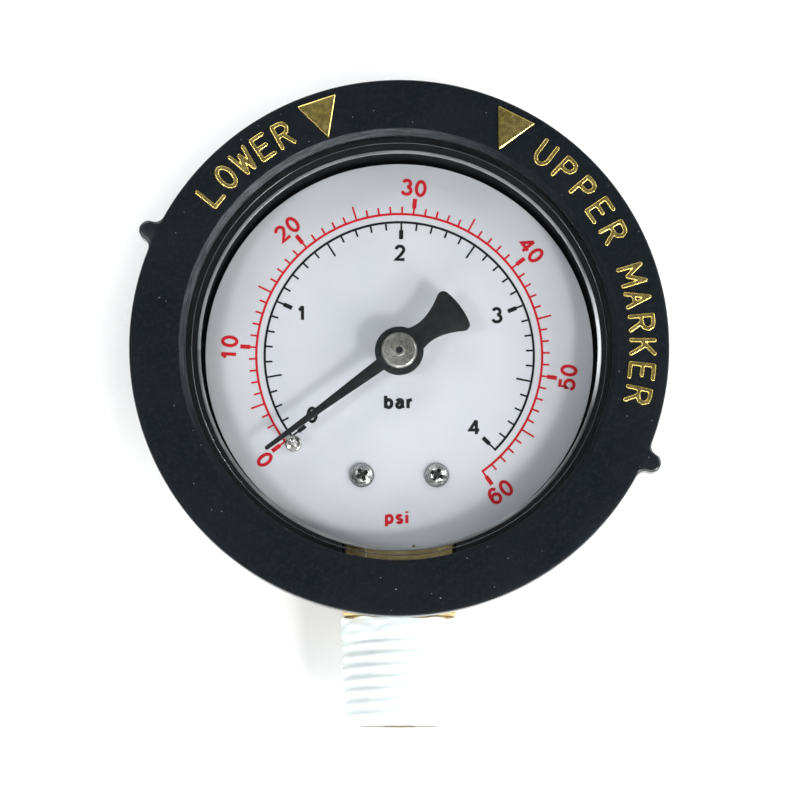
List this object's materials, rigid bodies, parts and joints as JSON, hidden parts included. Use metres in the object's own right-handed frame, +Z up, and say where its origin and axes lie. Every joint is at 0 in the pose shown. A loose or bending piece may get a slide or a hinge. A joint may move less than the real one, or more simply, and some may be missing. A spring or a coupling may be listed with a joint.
{
  "type": "pressure gauge",
  "caption": "Round dial pressure gauge for a pool filter, with a turning marker ring, a curved-tube movement inside and a brass tapered-thread stem at the bottom.",
  "frame": {"origin": "centre of the case's flat back face, on the gauge's axis", "axes": "+Y out of the flat back, so the dial faces -Y; +Z up, away from the stem; +X to the right as the dial is read"},
  "size_m": [0.0636, 0.026, 0.0758],
  "materials": {
    "case_plastic": "matte moulded black plastic",
    "ring_plastic": "satin moulded blue-black plastic",
    "window_plastic": "clear polished plastic",
    "dial_enamel": "satin white enamel on aluminium",
    "pointer_enamel": "satin black enamel",
    "nickel": "satin nickel plate",
    "plated_steel": "bright zinc plate",
    "movement_brass": "stamped brass, fine grain",
    "spring_bronze": "drawn phosphor bronze",
    "socket_brass": "milled brass, slightly dull",
    "ptfe_tape": "thin white PTFE sealing tape"
  },
  "bodies": {
    "housing": {"case": "case_plastic", "window": "window_plastic", "dial_plate": "dial_enamel", "dial_screw_left": "plated_steel", "dial_screw_right": "plated_steel", "stop_pin": "plated_steel", "movement_front_plate": "movement_brass", "movement_back_plate": "movement_brass", "movement_pillar_left": "movement_brass", "movement_pillar_right": "movement_brass", "movement_pillar_low": "movement_brass", "plate_screw_left": "plated_steel", "plate_screw_right": "plated_steel", "plate_screw_low": "plated_steel", "movement_screw_left": "plated_steel", "movement_screw_right": "plated_steel", "hairspring": "spring_bronze", "hairspring_stud": "movement_brass", "bourdon_tube": "spring_bronze", "socket": "socket_brass", "thread_tape": "ptfe_tape", "case_screw_left": "plated_steel", "case_screw_right": "plated_steel"},
    "marker_ring": {"bezel_ring": "ring_plastic"},
    "pointer_set": {"pointer": "pointer_enamel", "pointer_hub": "nickel", "pinion_arbor": "plated_steel", "hairspring_collet": "movement_brass"},
    "sector": {"sector_gear": "movement_brass", "sector_arbor": "plated_steel", "link_pin_sector": "plated_steel"},
    "tube_end": {"tube_tip": "movement_brass", "link_pin_tip": "plated_steel"},
    "link_bar": {"link": "movement_brass"}
  },
  "joints": [
    {"name": "ring_turn", "type": "hinge", "parent": "housing", "child": "marker_ring", "pos_m": [0, -0.0245, 0], "axis": [0, 1, 0], "continuous": true},
    {"name": "pointer_spin", "type": "hinge", "parent": "housing", "child": "pointer_set", "pos_m": [0, -0.0125, 0], "axis": [0, 1, 0], "range_deg": [0, 271.7], "stiffness_Nm_per_rad": 0.0002, "deforming": ["hairspring", "bourdon_tube"]},
    {"name": "sector_swing", "type": "hinge", "parent": "housing", "child": "sector", "pos_m": [0.00856, -0.01, -0.00856], "axis": [0, 1, 0], "range_deg": [-27.2, 0]},
    {"name": "tube_flex", "type": "hinge", "parent": "housing", "child": "tube_end", "pos_m": [-0.0044, -0.00905, 0.0061], "axis": [0, 1, 0], "range_deg": [-3.9, 0]},
    {"name": "link_swing", "type": "hinge", "parent": "tube_end", "child": "link_bar", "pos_m": [0.0166, -0.0087, -0.0055], "axis": [0, 1, 0], "range_deg": [0, 5.5]}
  ],
  "couplings": [
    {"joint": "sector_swing", "follows": "pointer_spin", "ratio": -0.1},
    {"joint": "tube_flex", "follows": "pointer_spin", "ratio": -0.01417},
    {"joint": "link_swing", "follows": "pointer_spin", "ratio": 0.020022}
  ]
}
